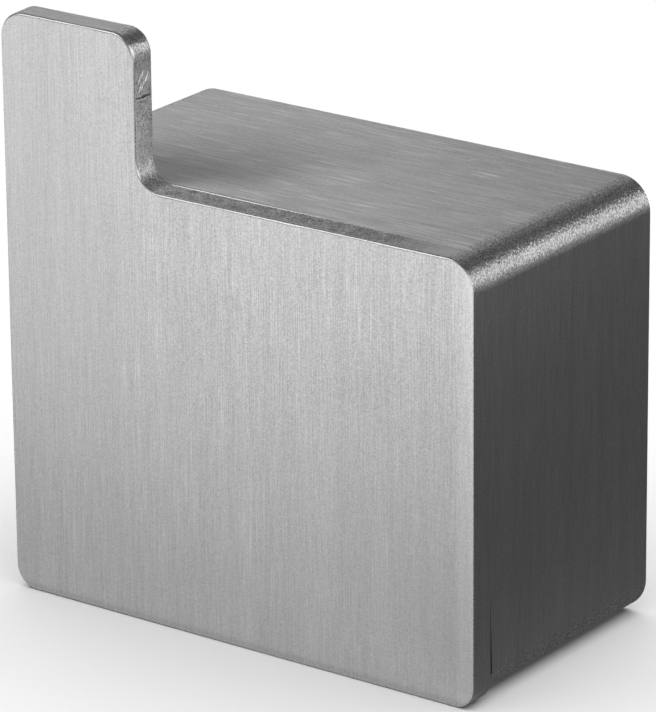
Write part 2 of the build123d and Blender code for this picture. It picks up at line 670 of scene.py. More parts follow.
class Patchwork:
    """Grids and flat polygons that meet edge to edge and are sewn into one mesh.

    A face keeps the normals of its own patch, so an edge between two patches may be smooth or sharp.
    """

    WELD = 1e-5

    def __init__(self) -> None:
        """Starts with nothing."""
        self._points: list[Array] = []
        self._normals: list[Array] = []
        self._faces: list[Array] = []
        self._dress: list[Array] = []
        self._count = 0

    def _append(self, points: Array, normals: Array) -> Array:
        """Stores the points of a patch.

        Args:
            points: The points, in a grid or a row.
            normals: Their normals, or one for all.

        Returns:
            Their places among all points.
        """
        flat = points.reshape(-1, 3)
        self._points.append(flat)
        self._normals.append(np.broadcast_to(normals, points.shape).reshape(-1, 3))
        start = self._count
        self._count += len(flat)
        return np.arange(start, self._count)

    def add_grid(
        self, points: Array, normals: Array, dress: Dress = Dress.FACE, keep: Array | None = None
    ) -> None:
        """Adds a grid of four-sided faces, each turned to face the way of its normals.

        Args:
            points: Rows by columns by 3, in millimetres.
            normals: The same shape, or one normal for all.
            dress: The finish that the faces wear.
            keep: For each face, rows by columns, whether it is kept. All are if this is left out.
        """
        index = self._append(points, normals).reshape(points.shape[:2])
        quads = np.stack([index[:-1, :-1], index[1:, :-1], index[1:, 1:], index[:-1, 1:]], axis=-1)
        quads = quads.reshape(-1, 4) if keep is None else quads[keep]
        corner = np.concatenate(self._points)[quads]
        leaning = np.concatenate(self._normals)[quads].mean(1)
        facing = np.cross(corner[:, 2] - corner[:, 0], corner[:, 3] - corner[:, 1])
        turned = (facing * leaning).sum(1) < 0
        quads[turned] = quads[turned, ::-1]
        self._faces.append(quads)
        self._dress.append(np.full(len(quads), dress.value))

    def add_polygon(self, points: Array, normal: Array, dress: Dress = Dress.FACE) -> None:
        """Adds one flat face inside a loop of points.

        Args:
            points: The loop in order, points by 3, in millimetres.
            normal: The way that the face looks.
            dress: The finish that it wears.
        """
        index = self._append(points, normal)
        area = np.cross(points, np.roll(points, -1, axis=0)).sum(0)
        self._faces.append((index if area @ normal > 0 else index[::-1])[None, :])
        self._dress.append(np.array([dress.value]))

    def mesh(self, name: str) -> bpy.types.Mesh:
        """Sews the patches where their points meet and makes the mesh.

        Args:
            name: The mesh's name.

        Returns:
            The mesh, in metres, with its own normals.
        """
        points = np.concatenate(self._points)
        normals = np.concatenate(self._normals)
        keys = np.round(points / self.WELD).astype(np.int64)
        _, first, place = np.unique(keys, axis=0, return_index=True, return_inverse=True)
        corners = np.concatenate([faces.ravel() for faces in self._faces])
        sizes = np.concatenate([np.full(len(faces), faces.shape[1]) for faces in self._faces])
        starts = np.concatenate([[0], np.cumsum(sizes)[:-1]])
        mesh = bpy.data.meshes.new(name)
        mesh.vertices.add(len(first))
        mesh.vertices.foreach_set("co", (points[first] * MM).astype(np.float32).ravel())
        mesh.loops.add(len(corners))
        mesh.loops.foreach_set("vertex_index", place.ravel()[corners].astype(np.int32))
        mesh.polygons.add(len(sizes))
        mesh.polygons.foreach_set("loop_start", starts.astype(np.int32))
        mesh.polygons.foreach_set("material_index", np.concatenate(self._dress).astype(np.int32))
        mesh.polygons.foreach_set("use_smooth", np.ones(len(sizes), bool))
        mesh.update(calc_edges=True)
        mesh.normals_split_custom_set(normals[corners])
        return mesh


@dataclass(frozen=True)
class Outline:
    """A closed outline in a plane, in order and anticlockwise, with its outward normals."""

    points: Array
    normals: Array

    @classmethod
    def rounded(
        cls, corners: Array, radii: Array, run_counts: tuple[int, ...], arc_count: int
    ) -> "Outline":
        """Outline through corners that are each turned by an arc.

        An arc starts radius * tan(turn / 2) before its corner and its centre lies a radius to the
        side that the outline turns to. Its points are the spoke from the centre to the arc's start,
        swung through the turn.

        Args:
            corners: The sharp corners, anticlockwise.
            radii: The radius at each corner.
            run_counts: Steps along the straight run that leaves each corner.
            arc_count: Steps along each arc.

        Returns:
            The outline, with its first point again at its end.
        """
        leave = np.roll(corners, -1, axis=0) - corners
        leave = leave / np.linalg.norm(leave, axis=1, keepdims=True)
        arrive = np.roll(leave, 1, axis=0)
        cross = arrive[:, 0] * leave[:, 1] - arrive[:, 1] * leave[:, 0]
        turns = np.arctan2(cross, (arrive * leave).sum(1))
        reach = radii * np.tan(np.abs(turns) / 2)
        starts = corners - arrive * reach[:, None]
        ends = corners + leave * reach[:, None]
        points, normals = [], []
        for i, turn in enumerate(turns):
            side = np.sign(turn)
            centre = starts[i] + side * radii[i] * np.array([-arrive[i, 1], arrive[i, 0]])
            swing = np.exp(1j * np.linspace(0, turn, arc_count + 1)) * complex(*(starts[i] - centre))
            spokes = np.stack([swing.real, swing.imag], axis=1)
            share = np.linspace(0, 1, run_counts[i] + 1)[1:-1, None]
            run = ends[i] + share * (starts[(i + 1) % len(corners)] - ends[i])
            points += [centre + spokes, run]
            normals += [side * spokes / radii[i], np.tile([leave[i, 1], -leave[i, 0]], (len(run), 1))]
        return cls(
            np.concatenate([*points, points[0][:1]]), np.concatenate([*normals, normals[0][:1]])
        )

    def eased(self, reach: float, places: Array) -> "Outline":
        """The outline with its normals eased from arc to run at some of its points.

        A normal's angle becomes its mean over the stretch from reach before the point to reach after
        it, which is the difference of the angle's running integral between the two.

        Args:
            reach: Half the stretch's length.
            places: For each point, whether its normal is eased.

        Returns:
            The outline with the same points.
        """
        step = np.linalg.norm(np.diff(self.points, axis=0), axis=1)
        way = np.concatenate([[0], np.cumsum(step)])
        angle = np.unwrap(np.arctan2(self.normals[:, 1], self.normals[:, 0]))
        integral = np.concatenate([[0], np.cumsum(step * (angle[1:] + angle[:-1]) / 2)])
        before, after = (np.interp(way + shift, way, integral) for shift in (-reach, reach))
        mean = np.where(places, (after - before) / (2 * reach), angle)
        return Outline(self.points, np.stack([np.cos(mean), np.sin(mean)], axis=1))


@dataclass(frozen=True)
class EdgeSection:
    """Section of a sheet's edge from its front face round to its back face.

    Each array runs along the section: how far a point lies in from the outline, how deep behind the
    front face, and the shares of its normal that point out of the edge and out of the front face.
    """

    inset: Array
    depth: Array
    outward: Array
    forward: Array

    @classmethod
    def broken(
        cls, thickness: float, front: Array | float, back: Array | float, steps: int, wall_steps: int
    ) -> "EdgeSection":
        """Section with both corners rounded by quarter circles.

        Args:
            thickness: The sheet's thickness.
            front: Radius at the front face, a number or a column with one for each point of an outline.
            back: Radius at the back face, likewise.
            steps: Steps along each quarter circle.
            wall_steps: Steps along the straight wall between them.

        Returns:
            The section.
        """
        turn = np.linspace(0, np.pi / 2, steps + 1)
        share = np.linspace(0, 1, wall_steps + 1)[1:-1]
        front = np.atleast_2d(front)
        back = np.atleast_2d(back)
        wall = front + share * (thickness - front - back)
        inset = [front * (1 - np.sin(turn)), 0 * wall, back * (1 - np.sin(turn[::-1]))]
        depth = [front * (1 - np.cos(turn)), wall, thickness - back * (1 - np.cos(turn[::-1]))]
        outward = [np.sin(turn), np.ones_like(share), np.sin(turn[::-1])]
        forward = [np.cos(turn), np.zeros_like(share), -np.cos(turn[::-1])]
        rows = max(len(front), len(back))
        return cls(
            np.hstack([np.broadcast_to(part, (rows, part.shape[1])) for part in inset]),
            np.hstack([np.broadcast_to(part, (rows, part.shape[1])) for part in depth]),
            np.concatenate(outward),
            np.concatenate(forward),
        )


def add_object(name: str, data: bpy.types.ID) -> bpy.types.Object:
    """Puts a mesh, a lamp or a camera into the scene.

    Args:
        name: The object's name.
        data: The mesh, the lamp or the camera.

    Returns:
        The object.
    """
    made = bpy.data.objects.new(name, data)
    bpy.context.scene.collection.objects.link(made)
    return made


def add_piece(
    name: str, mesh: bpy.types.Mesh, materials: list[bpy.types.Material]
) -> bpy.types.Object:
    """Puts a mesh into the scene as a piece of the hook.

    Args:
        name: The piece's name.
        mesh: Its mesh, with its place in its points.
        materials: Its materials, in the order that its faces count them.

    Returns:
        The piece.
    """
    for material in materials:
        mesh.materials.append(material)
    piece = add_object(name, mesh)
    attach(piece, BODY)
    return piece


def point_places(mesh: bpy.types.Mesh) -> Array:
    """Reads where a mesh's points are.

    Args:
        mesh: The mesh, in metres.

    Returns:
        The places, points by 3, in millimetres.
    """
    places = np.empty(3 * len(mesh.vertices), np.float32)
    mesh.vertices.foreach_get("co", places)
    return places.reshape(-1, 3) / MM


def paint(mesh: bpy.types.Mesh, shares: dict[str, Array]) -> None:
    """Paints named shares on a mesh's points, for its finish to read.

    Args:
        mesh: The mesh.
        shares: By its name, each share's value at every point.
    """
    for name, share in shares.items():
        attribute = mesh.attributes.new(name, "FLOAT", "POINT")
        attribute.data.foreach_set("value", share.astype(np.float32))


@dataclass(frozen=True)
class Scratch:
    """A stroke of a sharp corner across a flat edge, from one place to another in Y and Z.

    A negative depth makes a raised burr of it.
    """

    start: Pair
    end: Pair
    depth: float = 0.07
    half_width: float = 0.11
    beside: float = 0.8

    def height(self, y: Array, z: Array) -> Array:
        """Height of the surface along and beside the stroke.

        With q the squared distance from its line in half widths, the groove and the low burrs on
        both sides are (beside * q - 1) exp(-q). It fades out towards both ends.

        Args:
            y: Places in Y.
            z: Places in Z.

        Returns:
            The height at each place, below zero in the groove.
        """
        run = np.subtract(self.end, self.start)
        length = np.hypot(*run)
        along = ((y - self.start[0]) * run[0] + (z - self.start[1]) * run[1]) / length**2
        aside = ((z - self.start[1]) * run[0] - (y - self.start[0]) * run[1]) / length
        q = (aside / self.half_width) ** 2
        fade = np.sqrt(np.clip(4 * along * (1 - along), 0, 1))
        return self.depth * fade * (self.beside * q - 1) * np.exp(-q)


# Pieces of the hook


@dataclass
class FrontPlate:
    """Laser-cut plate with the finger, its edges broken by hand.

    A run is a pair of places between which a share goes from 0 to 1. The break in the root counts them
    from the sharp root, its darkening from the end of its rounding, the finger's corners in radii above
    their lower ends, and the darker strip up the finger's edge from the joint and above the tube's top.
    """

    finger_width: float = 14.6
    finger_corner_radius: float = 2.4
    finger_corner_back: float = 2.15
    finger_corner_ease: float = 0.9
    root_radius: float = 2.5
    lower_corner_radius: float = 2.2
    shoulder_drop: float = 0.2
    ground_radius_front: float = 2.8
    ground_radius_back: float = 3.0
    front_break: float = 0.24
    left_edge_less: float = 0.13
    finger_edge_extra: float = 0.1
    finger_edge_power: int = 4
    right_edge_less: float = 0.16
    root_less: float = 0.12
    root_less_run: Pair = (1.3, 3.0)
    low_edge_extra: float = 0.06
    wander: tuple[Triple, ...] = ((0.12, 9, 0.6), (0.08, 23, 2.0))
    back_break: float = 0.08
    flush_break: float = 0.004
    shoulder_ground_run: Pair = (12.5, 25.0)
    finger_ground_run: Pair = (-0.45, 0.0)
    finger_wear: float = 0.6
    finger_wear_run: Pair = (-0.6, 0.0)
    root_dark_low: float = 1.0
    root_dark_run: Pair = (-1.0, 1.0)
    joint_dark: float = 0.8
    joint_dark_run_depth: Pair = (-1.2, -0.1)
    joint_dark_run_low: Pair = (1.0, 3.5)
    joint_dark_run_high: Pair = (7.5, 9.0)
    scratches: tuple[Scratch, ...] = (
        Scratch((-26.72, 28.02), (-25.15, 27.84)),
        Scratch((-25.95, 28.07), (-24.58, 27.93)),
        Scratch((-26.35, 27.66), (-25.55, 27.5), depth=0.025, half_width=0.1),
        Scratch((-25.8, 27.42), (-25.2, 27.5), depth=0.02, half_width=0.09),
    )
    burrs: tuple[Pair, ...] = (
        (-26.3, 28.45),
        (-25.95, 28.6),
        (-25.6, 28.9),
        (-25.35, 29.3),
        (-26.4, 29.2),
        (-26.0, 29.6),
    )
    burr_run: Pair = (0.42, 0.8)
    burr_height: float = 0.05
    burr_half_width: float = 0.07
    scratch_reach: float = 0.1
    scratch_step: float = 1e-4
    dark_depth: float = 0.015
    dark_limits: Pair = (-1.2, 3.0)
    run_counts: tuple[int, ...] = (46, 36, 210, 230, 72, 50)
    arc_count: int = 28
    break_steps: int = 8
    wall_steps: int = 30

    @property
    def finger_side(self) -> float:
        """Place of the finger's right edge in X."""
        return node_box("front_plate")[0][0] + self.finger_width

    @property
    def tube_top(self) -> float:
        """Height of the tube's top, which the shoulder meets."""
        return node_box("body_sleeve")[1][2]

    def outline(self, ground_radius: float, finger_radius: float) -> Outline:
        """The plate's outline in X and Z, with eased normals about the finger's corners.

        Args:
            ground_radius: Radius at the ground shoulder.
            finger_radius: Radius at the finger's two corners.

        Returns:
            The outline.
        """
        low, high = node_box("front_plate")
        turned_by = (
            ((low[0], low[2]), self.lower_corner_radius),
            ((high[0], low[2]), self.lower_corner_radius),
            ((high[0], self.tube_top), ground_radius),
            ((self.finger_side, self.tube_top - self.shoulder_drop), self.root_radius),
            ((self.finger_side, high[2]), finger_radius),
            ((low[0], high[2]), finger_radius),
        )
        corners, radii = (np.array(part) for part in zip(*turned_by))
        outline = Outline.rounded(corners, radii, self.run_counts, self.arc_count)
        around_corners = outline.points[:, 1] > high[2] - 2 * self.finger_corner_radius
        return outline.eased(self.finger_corner_ease, around_corners)

    def front_breaks(self, outline: Outline) -> Array:
        """Radius of the broken front edge along the outline.

        The break is wider on the low edge and the finger's right edge and narrower on both sides and
        in the root. It wanders a little along its length, by waves that each have a height, a number
        round the plate and a start.

        Args:
            outline: The front face's outline.

        Returns:
            A column with the radius at each point.
        """
        way = np.linspace(0, 2 * np.pi, len(outline.points))
        wander = 1 + sum(height * np.sin(number * way + start) for height, number, start in self.wander)
        looking_left, looking_down = np.clip(-outline.normals, 0, 1).T
        looking_right = np.clip(outline.normals[:, 0], 0, 1)
        right_edge = np.where(
            outline.points[:, 1] > self.tube_top,
            self.finger_edge_extra * looking_right**self.finger_edge_power,
            -self.right_edge_less * looking_right,
        )
        from_root = np.linalg.norm(outline.points - (self.finger_side, self.tube_top), axis=1)
        width = (
            self.front_break
            - self.left_edge_less * looking_left
            + self.low_edge_extra * looking_down
            + right_edge
            - self.root_less * (1 - smooth_step(from_root, *self.root_less_run))
        )
        return (wander * width)[:, None]

    def back_breaks(self, outline: Outline) -> Array:
        """Radius of the broken back edge at each point, as a column: a hair where the tube joins it."""
        free = ramp(outline.points[:, 1], self.tube_top, self.tube_top + self.root_radius)
        return (self.flush_break + (self.back_break - self.flush_break) * free)[:, None]

    def build(
        self, face: BrushedSteel, edge: bpy.types.Material, broken: bpy.types.Material
    ) -> bpy.types.Object:
        """Makes the plate.

        The rim is the outline carried round the section of a broken edge. On its way it goes from the
        front face's outline to the back face's.

        Args:
            face: The finish of the two faces.
            edge: The material of the rim.
            broken: The material of the break between the rim and the front face.

        Returns:
            The piece that stands for the plate.
        """
        low, high = node_box("front_plate")
        thickness = high[1] - low[1]
        at_front = self.outline(self.ground_radius_front, self.finger_corner_radius)
        at_back = self.outline(self.ground_radius_back, self.finger_corner_back)
        breaks = self.front_breaks(at_front), self.back_breaks(at_front)
        section = EdgeSection.broken(thickness, *breaks, self.break_steps, self.wall_steps)
        share = (section.depth / thickness)[..., None]
        rim = at_front.points[:, None] * (1 - share) + at_back.points[:, None] * share
        outward = at_front.normals[:, None]
        points = at_depth(rim - section.inset[..., None] * outward, low[1] + section.depth)
        normals = at_depth(outward * section.outward[:, None], -section.forward)
        points, normals = self.scratch(points, normals)
        work = Patchwork()
        last = self.break_steps
        work.add_grid(points[:, : last + 1], normals[:, : last + 1], Dress.BREAK)
        work.add_grid(points[:, last:], normals[:, last:], Dress.EDGE)
        work.add_polygon(points[:-1, 0], -TO_WALL)
        work.add_polygon(points[:-1, -1], TO_WALL)
        mesh = work.mesh("front_plate_brushed")
        self.paint_rim(mesh)
        piece = add_piece(mesh.name, mesh, [face.material(), edge, broken])
        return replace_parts(piece, "front_plate")

    def scratch(self, points: Array, normals: Array) -> tuple[Array, Array]:
        """Cuts the scratches into the finger's right edge.

        Args:
            points: The rim's grid, along the outline by round the edge.
            normals: Its normals.

        Returns:
            The grid and its normals, which lean against the slope of the height in Y and in Z.
        """
        rise = self.rise(points)
        slope_y, slope_z = (
            (self.rise(points + step) - self.rise(points - step)) / (2 * self.scratch_step)
            for step in (self.scratch_step * TO_WALL, self.scratch_step * UP)
        )
        leaning = normals - np.stack([0 * rise, slope_y, slope_z], axis=-1)
        return points + rise[..., None] * normals, leaning / np.linalg.norm(leaning, axis=2, keepdims=True)

    def rise(self, points: Array) -> Array:
        """Height of all the scratches and burrs together.

        Args:
            points: Places on the plate, in a grid or a row.

        Returns:
            The height at each place, zero off the finger's right edge.
        """
        run_y, run_z = self.burr_run
        burrs = (
            Scratch((y, z), (y + run_y, z + run_z), -self.burr_height, self.burr_half_width)
            for y, z in self.burrs
        )
        height = sum(stroke.height(points[..., 1], points[..., 2]) for stroke in (*self.scratches, *burrs))
        return height * (np.abs(points[..., 0] - self.finger_side) < self.scratch_reach)

    def paint_rim(self, mesh: bpy.types.Mesh) -> None:
        """Paints how far the rim was ground over its cut, how coarsely, and where it is dark.

        It is ground wholly on both sides, where the tube was ground with it, and over the finger's top
        with both its corners, and more and more along the shoulder. It is coarse at the ground shoulder
        and at the finger's right corner. The root and the shoulder strip are painted darker, and so is a
        strip up the back of the finger's edge above the root. The scratches' grooves get painted shade,
        and where they rise a painted glint.

        Args:
            mesh: The plate's mesh.
        """
        places = point_places(mesh)
        x, y, z = places.T
        low, high = node_box("front_plate")
        above_tube = z - self.tube_top
        corner = (z - high[2] + self.finger_corner_radius) / self.finger_corner_radius
        right_corner = x > self.finger_side - self.finger_corner_radius
        finger = np.where(right_corner, smooth_step(corner, *self.finger_ground_run), corner > 0)
        left_side = (x < low[0] + self.lower_corner_radius) & (above_tube < 0)
        shoulder = smooth_step(x, *self.shoulder_ground_run)
        shoulder_wear = over_corner(x, z, high[0], self.tube_top, self.ground_radius_back)
        finger_wear = self.finger_wear * right_corner * smooth_step(corner, *self.finger_wear_run)
        # Painted darker: the root, and the shoulder strip past it twice as much.
        root = (1 - smooth_step(above_tube, 0, self.root_radius)) * (above_tube > -self.root_dark_low)
        root = root * (1 + smooth_step(x - self.finger_side - self.root_radius, *self.root_dark_run))
        # Painted darker: a strip up the back of the finger's edge, from the joint and above the tube's top.
        joint_dark = smooth_step(y - high[1], *self.joint_dark_run_depth) * smooth_step(above_tube, *self.joint_dark_run_low)
        joint_dark = self.joint_dark * joint_dark * (1 - smooth_step(above_tube, *self.joint_dark_run_high))
        # Painted shade in the scratches' grooves and a painted glint where they rise: darker where a stroke
        # sinks, lighter where it stands up.
        groove = np.clip(-self.rise(places) / self.dark_depth, *self.dark_limits)
        paint(
            mesh,
            {
                WEAR_SHARE: np.where(x > 0, shoulder_wear, finger_wear),
                GROUND_SHARE: np.maximum(np.maximum(shoulder, finger), left_side),
                SHADE_GLINT_AND_DARKENING_SHARE: np.maximum(root, joint_dark) + groove,
            },
        )


@dataclass
class BodySleeve:
    """Cut length of rectangular tube, pierced below for the grub screw.

    A run is a pair of places between which a share goes from 0 to 1. That of the joint is measured back
    from the tube's front end.
    """

    corner_radius: float = 3.0
    wall: float = 1.5
    front_break: float = 0.16
    flush_break: float = 0.004
    flush_run: Pair = (0.0, 12.0)
    back_break: float = 0.2
    bore_break_front: float = 0.05
    bore_break_back: float = 0.1
    hole_radius: float = 2.05
    hole_break: float = 0.15
    hole_back: float = 7.5
    window: float = 4.0
    seam_gap: float = 0.3
    seam_low: float = 2.4
    seam_height: float = 9.5
    seam_reach: float = 1.2
    seam_end: float = 0.12
    seam_power: float = 1.5
    rub_by_joint: float = 1.2
    rub_run_x: Pair = (0.0, 15.0)
    rub_run_joint: Pair = (1.0, 6.0)
    run_counts: tuple[int, ...] = (88, 170, 88, 68)
    arc_count: int = 28
    seam_steps: int = 6
    middle_steps: int = 14
    window_steps: int = 16
    back_steps: int = 4
    end_steps: tuple[int, int] = (6, 3)
    hole_steps: tuple[int, int] = (5, 4)
    ring_steps: int = 5

    def build(
        self, outside: bpy.types.Material, inside: bpy.types.Material, broken: bpy.types.Material
    ) -> bpy.types.Object:
        """Makes the sleeve.

        Both walls are the girth carried along Y, less a window in the underside that rings about the
        hole fill. Both ends are the girth carried round the section of a broken edge.

        Args:
            outside: The brushed finish.
            inside: The finish of the bore.
            broken: The finish of the front end's broken edge.

        Returns:
            The piece that stands for the sleeve.
        """
        low, high = node_box("body_sleeve")
        corners = np.array([(low[0], low[2]), (high[0], low[2]), (high[0], high[2]), (low[0], high[2])])
        radii = np.full(len(corners), self.corner_radius)
        girth = Outline.rounded(corners, radii, self.run_counts, self.arc_count)
        x, z = girth.points.T
        proud = (z > high[2] - TOLERANCE) * (1 - ramp(x, *self.flush_run))
        front_break = (self.flush_break + (self.front_break - self.flush_break) * proud)[:, None]
        hole_y = high[1] - self.hole_back
        reach = np.linspace(hole_y - self.window, hole_y + self.window, self.window_steps + 1)
        depths = self.depths(front_break, reach)
        in_window = (z < low[2] + TOLERANCE) & (np.abs(x) < self.window + TOLERANCE)
        columns = in_window[:-1] & in_window[1:]
        rows = (depths[0, :-1] > reach[0] - TOLERANCE) & (depths[0, 1:] < reach[-1] + TOLERANCE)
        keep = ~(columns[:, None] & rows[None, :])
        work = Patchwork()
        for offset, sign, dress in ((0.0, 1.0, Dress.FACE), (self.wall, -1.0, Dress.INSIDE)):
            ring = girth.points - offset * girth.normals
            normals = sign * at_depth(girth.normals[:, None], 0 * depths)
            work.add_grid(self.open_seam(at_depth(ring[:, None], depths)), normals, dress, keep)
        for outer, inner, end, way, dress in (
            (self.back_break, self.bore_break_back, high[1], 1.0, Dress.FACE),
            (front_break, self.bore_break_front, low[1], -1.0, Dress.BREAK),
        ):
            section = EdgeSection.broken(self.wall, outer, inner, *self.end_steps)
            ring = girth.points[:, None] - section.depth[..., None] * girth.normals[:, None]
            points = at_depth(ring, end - way * section.inset)
            normals = at_depth(girth.normals[:, None] * section.forward[:, None], way * section.outward)
            work.add_grid(self.open_seam(points), normals, dress)
        self.pierce(work, x[in_window], reach, low[2])
        mesh = work.mesh("body_sleeve_brushed")
        self.paint_wear(mesh)
        piece = add_piece(mesh.name, mesh, [outside, inside, broken])
        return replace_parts(piece, "body_sleeve")

    def depths(self, front_break: Array, reach: Array) -> Array:
        """Places in Y that the girth is carried through, for each of its points.

        Args:
            front_break: Radius of the front end's broken edge at each point, as a column.
            reach: Places of the window's points in Y.

        Returns:
            Rows for the points by columns for the places: fine by the seam and at the window.
        """
        low, high = node_box("body_sleeve")
        near = low[1] + self.front_break + self.seam_reach * np.linspace(0, 1, self.seam_steps + 1)[1:]
        middle = np.linspace(near[-1], reach[0], self.middle_steps + 1)[1:-1]
        back = np.linspace(reach[-1], high[1] - self.back_break, self.back_steps + 1)[1:]
        rest = np.concatenate([near, middle, reach, back])
        return np.hstack([low[1] + front_break, np.broadcast_to(rest, (len(front_break), len(rest)))])

    def paint_wear(self, mesh: bpy.types.Mesh) -> None:
        """Paints where the belt runs over the long roundings, and where use has scratched the top.

        The scratches are densest by the joint at the right, where the plate was ground flush.

        Args:
            mesh: The sleeve's mesh.
        """
        x, y, z = point_places(mesh).T
        low, high = node_box("body_sleeve")
        on_top = smooth_step(z, high[2] - self.corner_radius, high[2])
        by_joint = smooth_step(x, *self.rub_run_x) * (1 - smooth_step(y - low[1], *self.rub_run_joint))
        paint(
            mesh,
            {
                WEAR_SHARE: over_corner(np.abs(x), np.abs(z), high[0], high[2], self.corner_radius),
                RUB_SHARE: on_top * (1 + self.rub_by_joint * by_joint),
            },
        )

    def open_seam(self, points: Array) -> Array:
        """Draws the front edge back from the plate where the weld stops short, low on the right side.

        The gap is widest at its low end and closes upwards to a hair, as a power of the way that is
        left. Points further back than the seam's reach stay where they are.

        Args:
            points: A grid of the sleeve.

        Returns:
            The grid with the seam open.
        """
        low, high = node_box("body_sleeve")
        right = points[..., 0] > high[0] - self.corner_radius
        up = points[..., 2] - (low[2] + self.seam_low)
        gap = self.seam_gap * (1 - ramp(up, 0, self.seam_height)) ** self.seam_power
        gap = gap * ramp(up, -self.seam_end, 0)
        near = 1 - ramp(points[..., 1] - low[1] - self.front_break, 0, self.seam_reach)
        moved = points.copy()
        moved[..., 1] += np.where(right, gap * near, 0.0)
        return moved

    def pierce(self, work: Patchwork, across: Array, reach: Array, bottom: float) -> None:
        """Fills the window in the underside with rings about the hole and lines the hole.

        A ring is a blend between the window's square and the circle that each point of the square
        meets on its way to the centre.

        Args:
            work: The patchwork that has the window.
            across: Places of the window's points in X.
            reach: Places of the window's points in Y.
            bottom: Height of the underside.
        """
        across = np.sort(across)
        centre = np.array([0.0, reach.mean()])
        square = np.concatenate(
            [
                np.stack([across, np.full_like(across, reach[0])], 1)[:-1],
                np.stack([np.full_like(reach, across[-1]), reach], 1)[:-1],
                np.stack([across[::-1], np.full_like(across, reach[-1])], 1)[:-1],
                np.stack([np.full_like(reach, across[0]), reach[::-1]], 1),
            ]
        )
        spoke = square - centre
        spoke = spoke / np.linalg.norm(spoke, axis=1, keepdims=True)
        circle = centre + (self.hole_radius + self.hole_break) * spoke
        share = np.linspace(0, 1, self.ring_steps + 1)[:, None]
        rings = circle[:, None] * (1 - share) + square[:, None] * share
        for height, normal, dress in ((bottom, -UP, Dress.FACE), (bottom + self.wall, UP, Dress.INSIDE)):
            work.add_grid(at_height(rings, height), normal, dress)
        section = EdgeSection.broken(self.wall, self.hole_break, self.hole_break, *self.hole_steps)
        ring = centre + (self.hole_radius + section.inset)[..., None] * spoke[:, None]
        normals = at_height(-spoke[:, None] * section.outward[:, None], -section.forward)
        work.add_grid(at_height(ring, bottom + section.depth), normals, Dress.INSIDE)


@dataclass
class WeldBead:
    """Short rippled bead in the corner between a wall of the tube and the plate's back."""

    leg: float = 1.6
    length: float = 12.0
    crown_radius: float = 2.0
    pitch: float = 0.9
    ripple: float = 0.07
    ripple_power: int = 4
    lag: float = 0.55
    end_power: int = 8
    end_least: float = 0.002
    arc_steps: int = 20
    length_steps: int = 160

    def build(self, name: str, foot: Array, inward: Array, metal: bpy.types.Material) -> bpy.types.Object:
        """Makes a bead.

        Its section is an arc between the two legs. The arc's points are moved out in ripples that lag
        behind at both legs, which gives the crescents of a weld pool, and shrink to nothing at both ends.

        Args:
            name: The bead's name.
            foot: Middle of the corner that it fills.
            inward: The way from the tube's wall into the tube.
            metal: Its material.

        Returns:
            The bead.
        """
        half_chord = self.leg / math.sqrt(2)
        half_angle = math.asin(half_chord / self.crown_radius)
        to_leg = np.linspace(-1, 1, self.arc_steps + 1)
        turn = half_angle * to_leg
        lift = half_chord - self.crown_radius * math.cos(half_angle)
        way = np.linspace(-1, 1, self.length_steps + 1)[:, None]
        place = way * self.length / 2
        taper = np.sqrt(np.clip(1 - way**self.end_power, self.end_least, 1))
        phase = (place + self.lag * to_leg**2) / self.pitch
        wave = self.ripple * np.abs(np.sin(np.pi * phase)) * (1 - to_leg**self.ripple_power)
        out = taper * (lift + self.crown_radius * np.cos(turn) + wave - self.ripple / 2)
        side = taper * self.crown_radius * np.sin(turn)
        points = (
            foot
            + ((out - side) / math.sqrt(2))[..., None] * inward
            + ((out + side) / math.sqrt(2))[..., None] * TO_WALL
            + place[..., None] * np.cross(inward, TO_WALL)
        )
        work = Patchwork()
        work.add_grid(points, grid_normals(points, points - foot))
        return add_piece(name, work.mesh(name), [metal])


